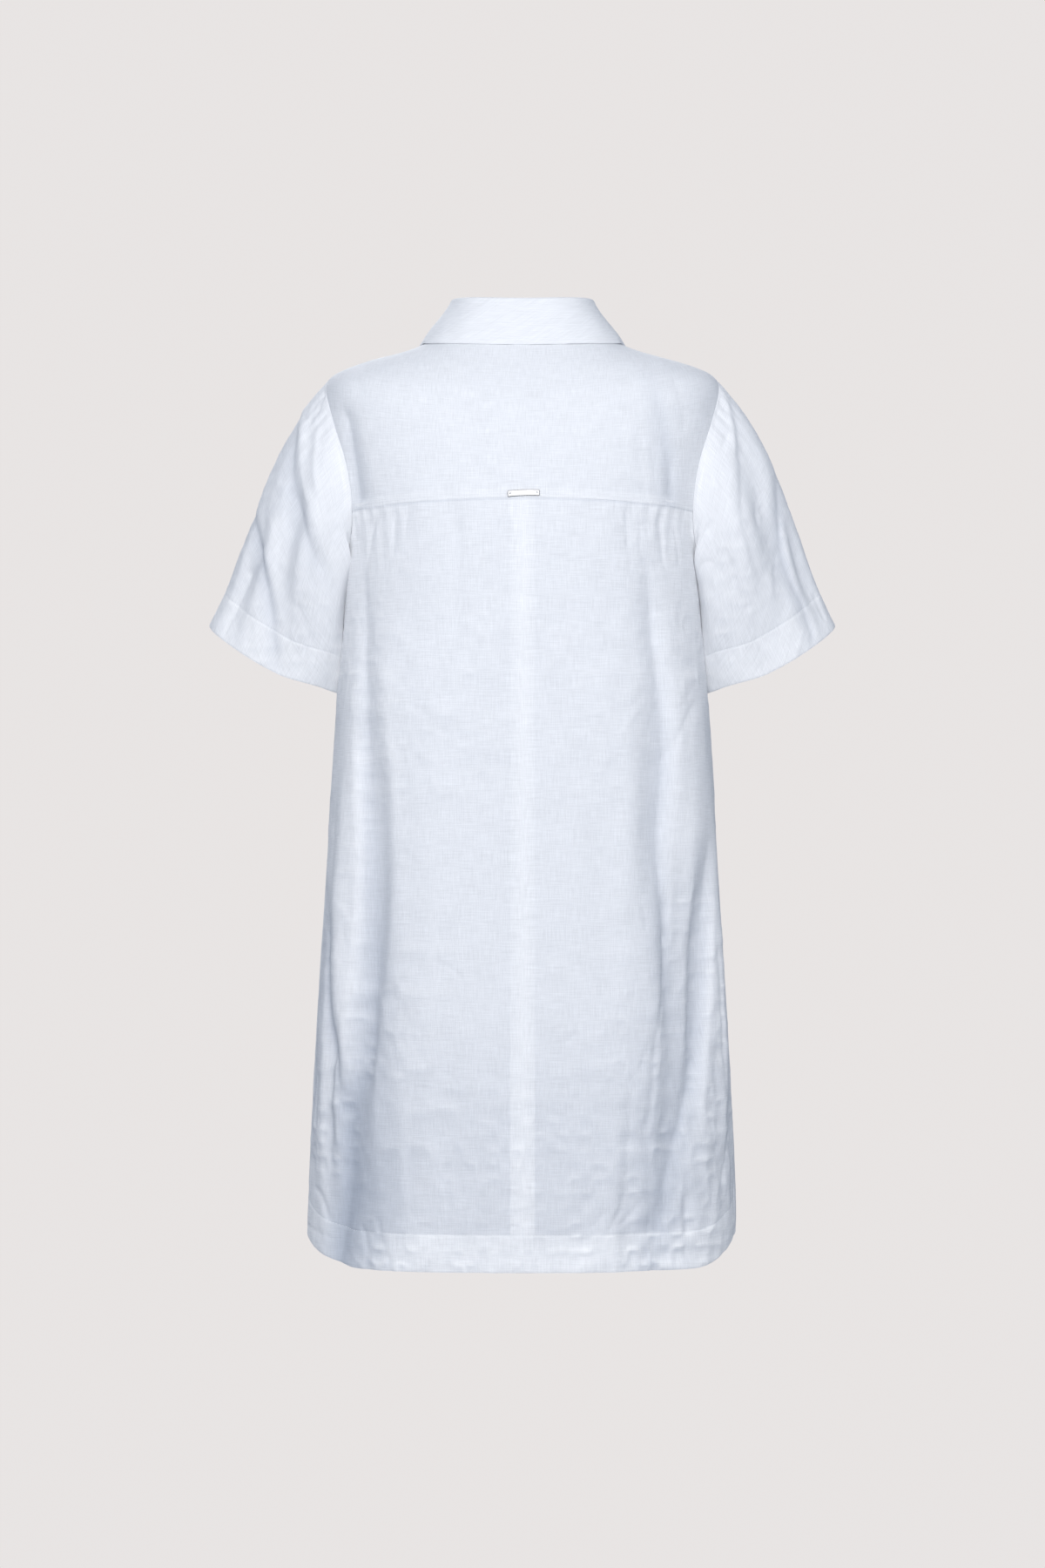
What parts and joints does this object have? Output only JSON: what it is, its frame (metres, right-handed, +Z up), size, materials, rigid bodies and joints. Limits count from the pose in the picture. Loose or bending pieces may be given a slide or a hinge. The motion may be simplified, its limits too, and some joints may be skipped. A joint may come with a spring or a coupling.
{
  "type": "short linen shirt dress",
  "caption": "Short linen shirt dress with a turned-down collar, back yoke, centre-back seam, short set-in sleeves and a curved hem, held in its worn form.",
  "frame": {"origin": "middle of the neck between the shoulders, level with the shoulder line at the neck, where the wearer holds the dress up", "axes": "+Z up the wearer's body, +X towards the wearer's left, the front faces -Y"},
  "size_m": [0.6104, 0.2855, 0.9252],
  "materials": {
    "back_yoke": "matte woven white linen",
    "back_left": "matte woven white linen",
    "back_right": "matte woven white linen",
    "front_left": "matte woven white linen",
    "front_right": "matte woven white linen",
    "sleeve_left": "matte woven white linen",
    "sleeve_right": "matte woven white linen",
    "collar_stand": "matte woven white linen",
    "collar_fall": "matte woven white linen",
    "buttons": "white, softly glossy",
    "yoke_plate": "plain silver-coloured plate"
  },
  "bodies": {
    "root": {"back_yoke": "back_yoke", "back_left": "back_left", "back_right": "back_right", "front_left": "front_left", "front_right": "front_right", "sleeve_left": "sleeve_left", "sleeve_right": "sleeve_right", "collar_stand": "collar_stand", "collar_fall": "collar_fall", "button_1": "buttons", "button_2": "buttons", "button_3": "buttons", "button_4": "buttons", "button_5": "buttons", "button_6": "buttons", "button_7": "buttons", "button_8": "buttons", "button_9": "buttons", "yoke_plate": "yoke_plate"}
  },
  "joints": []
}
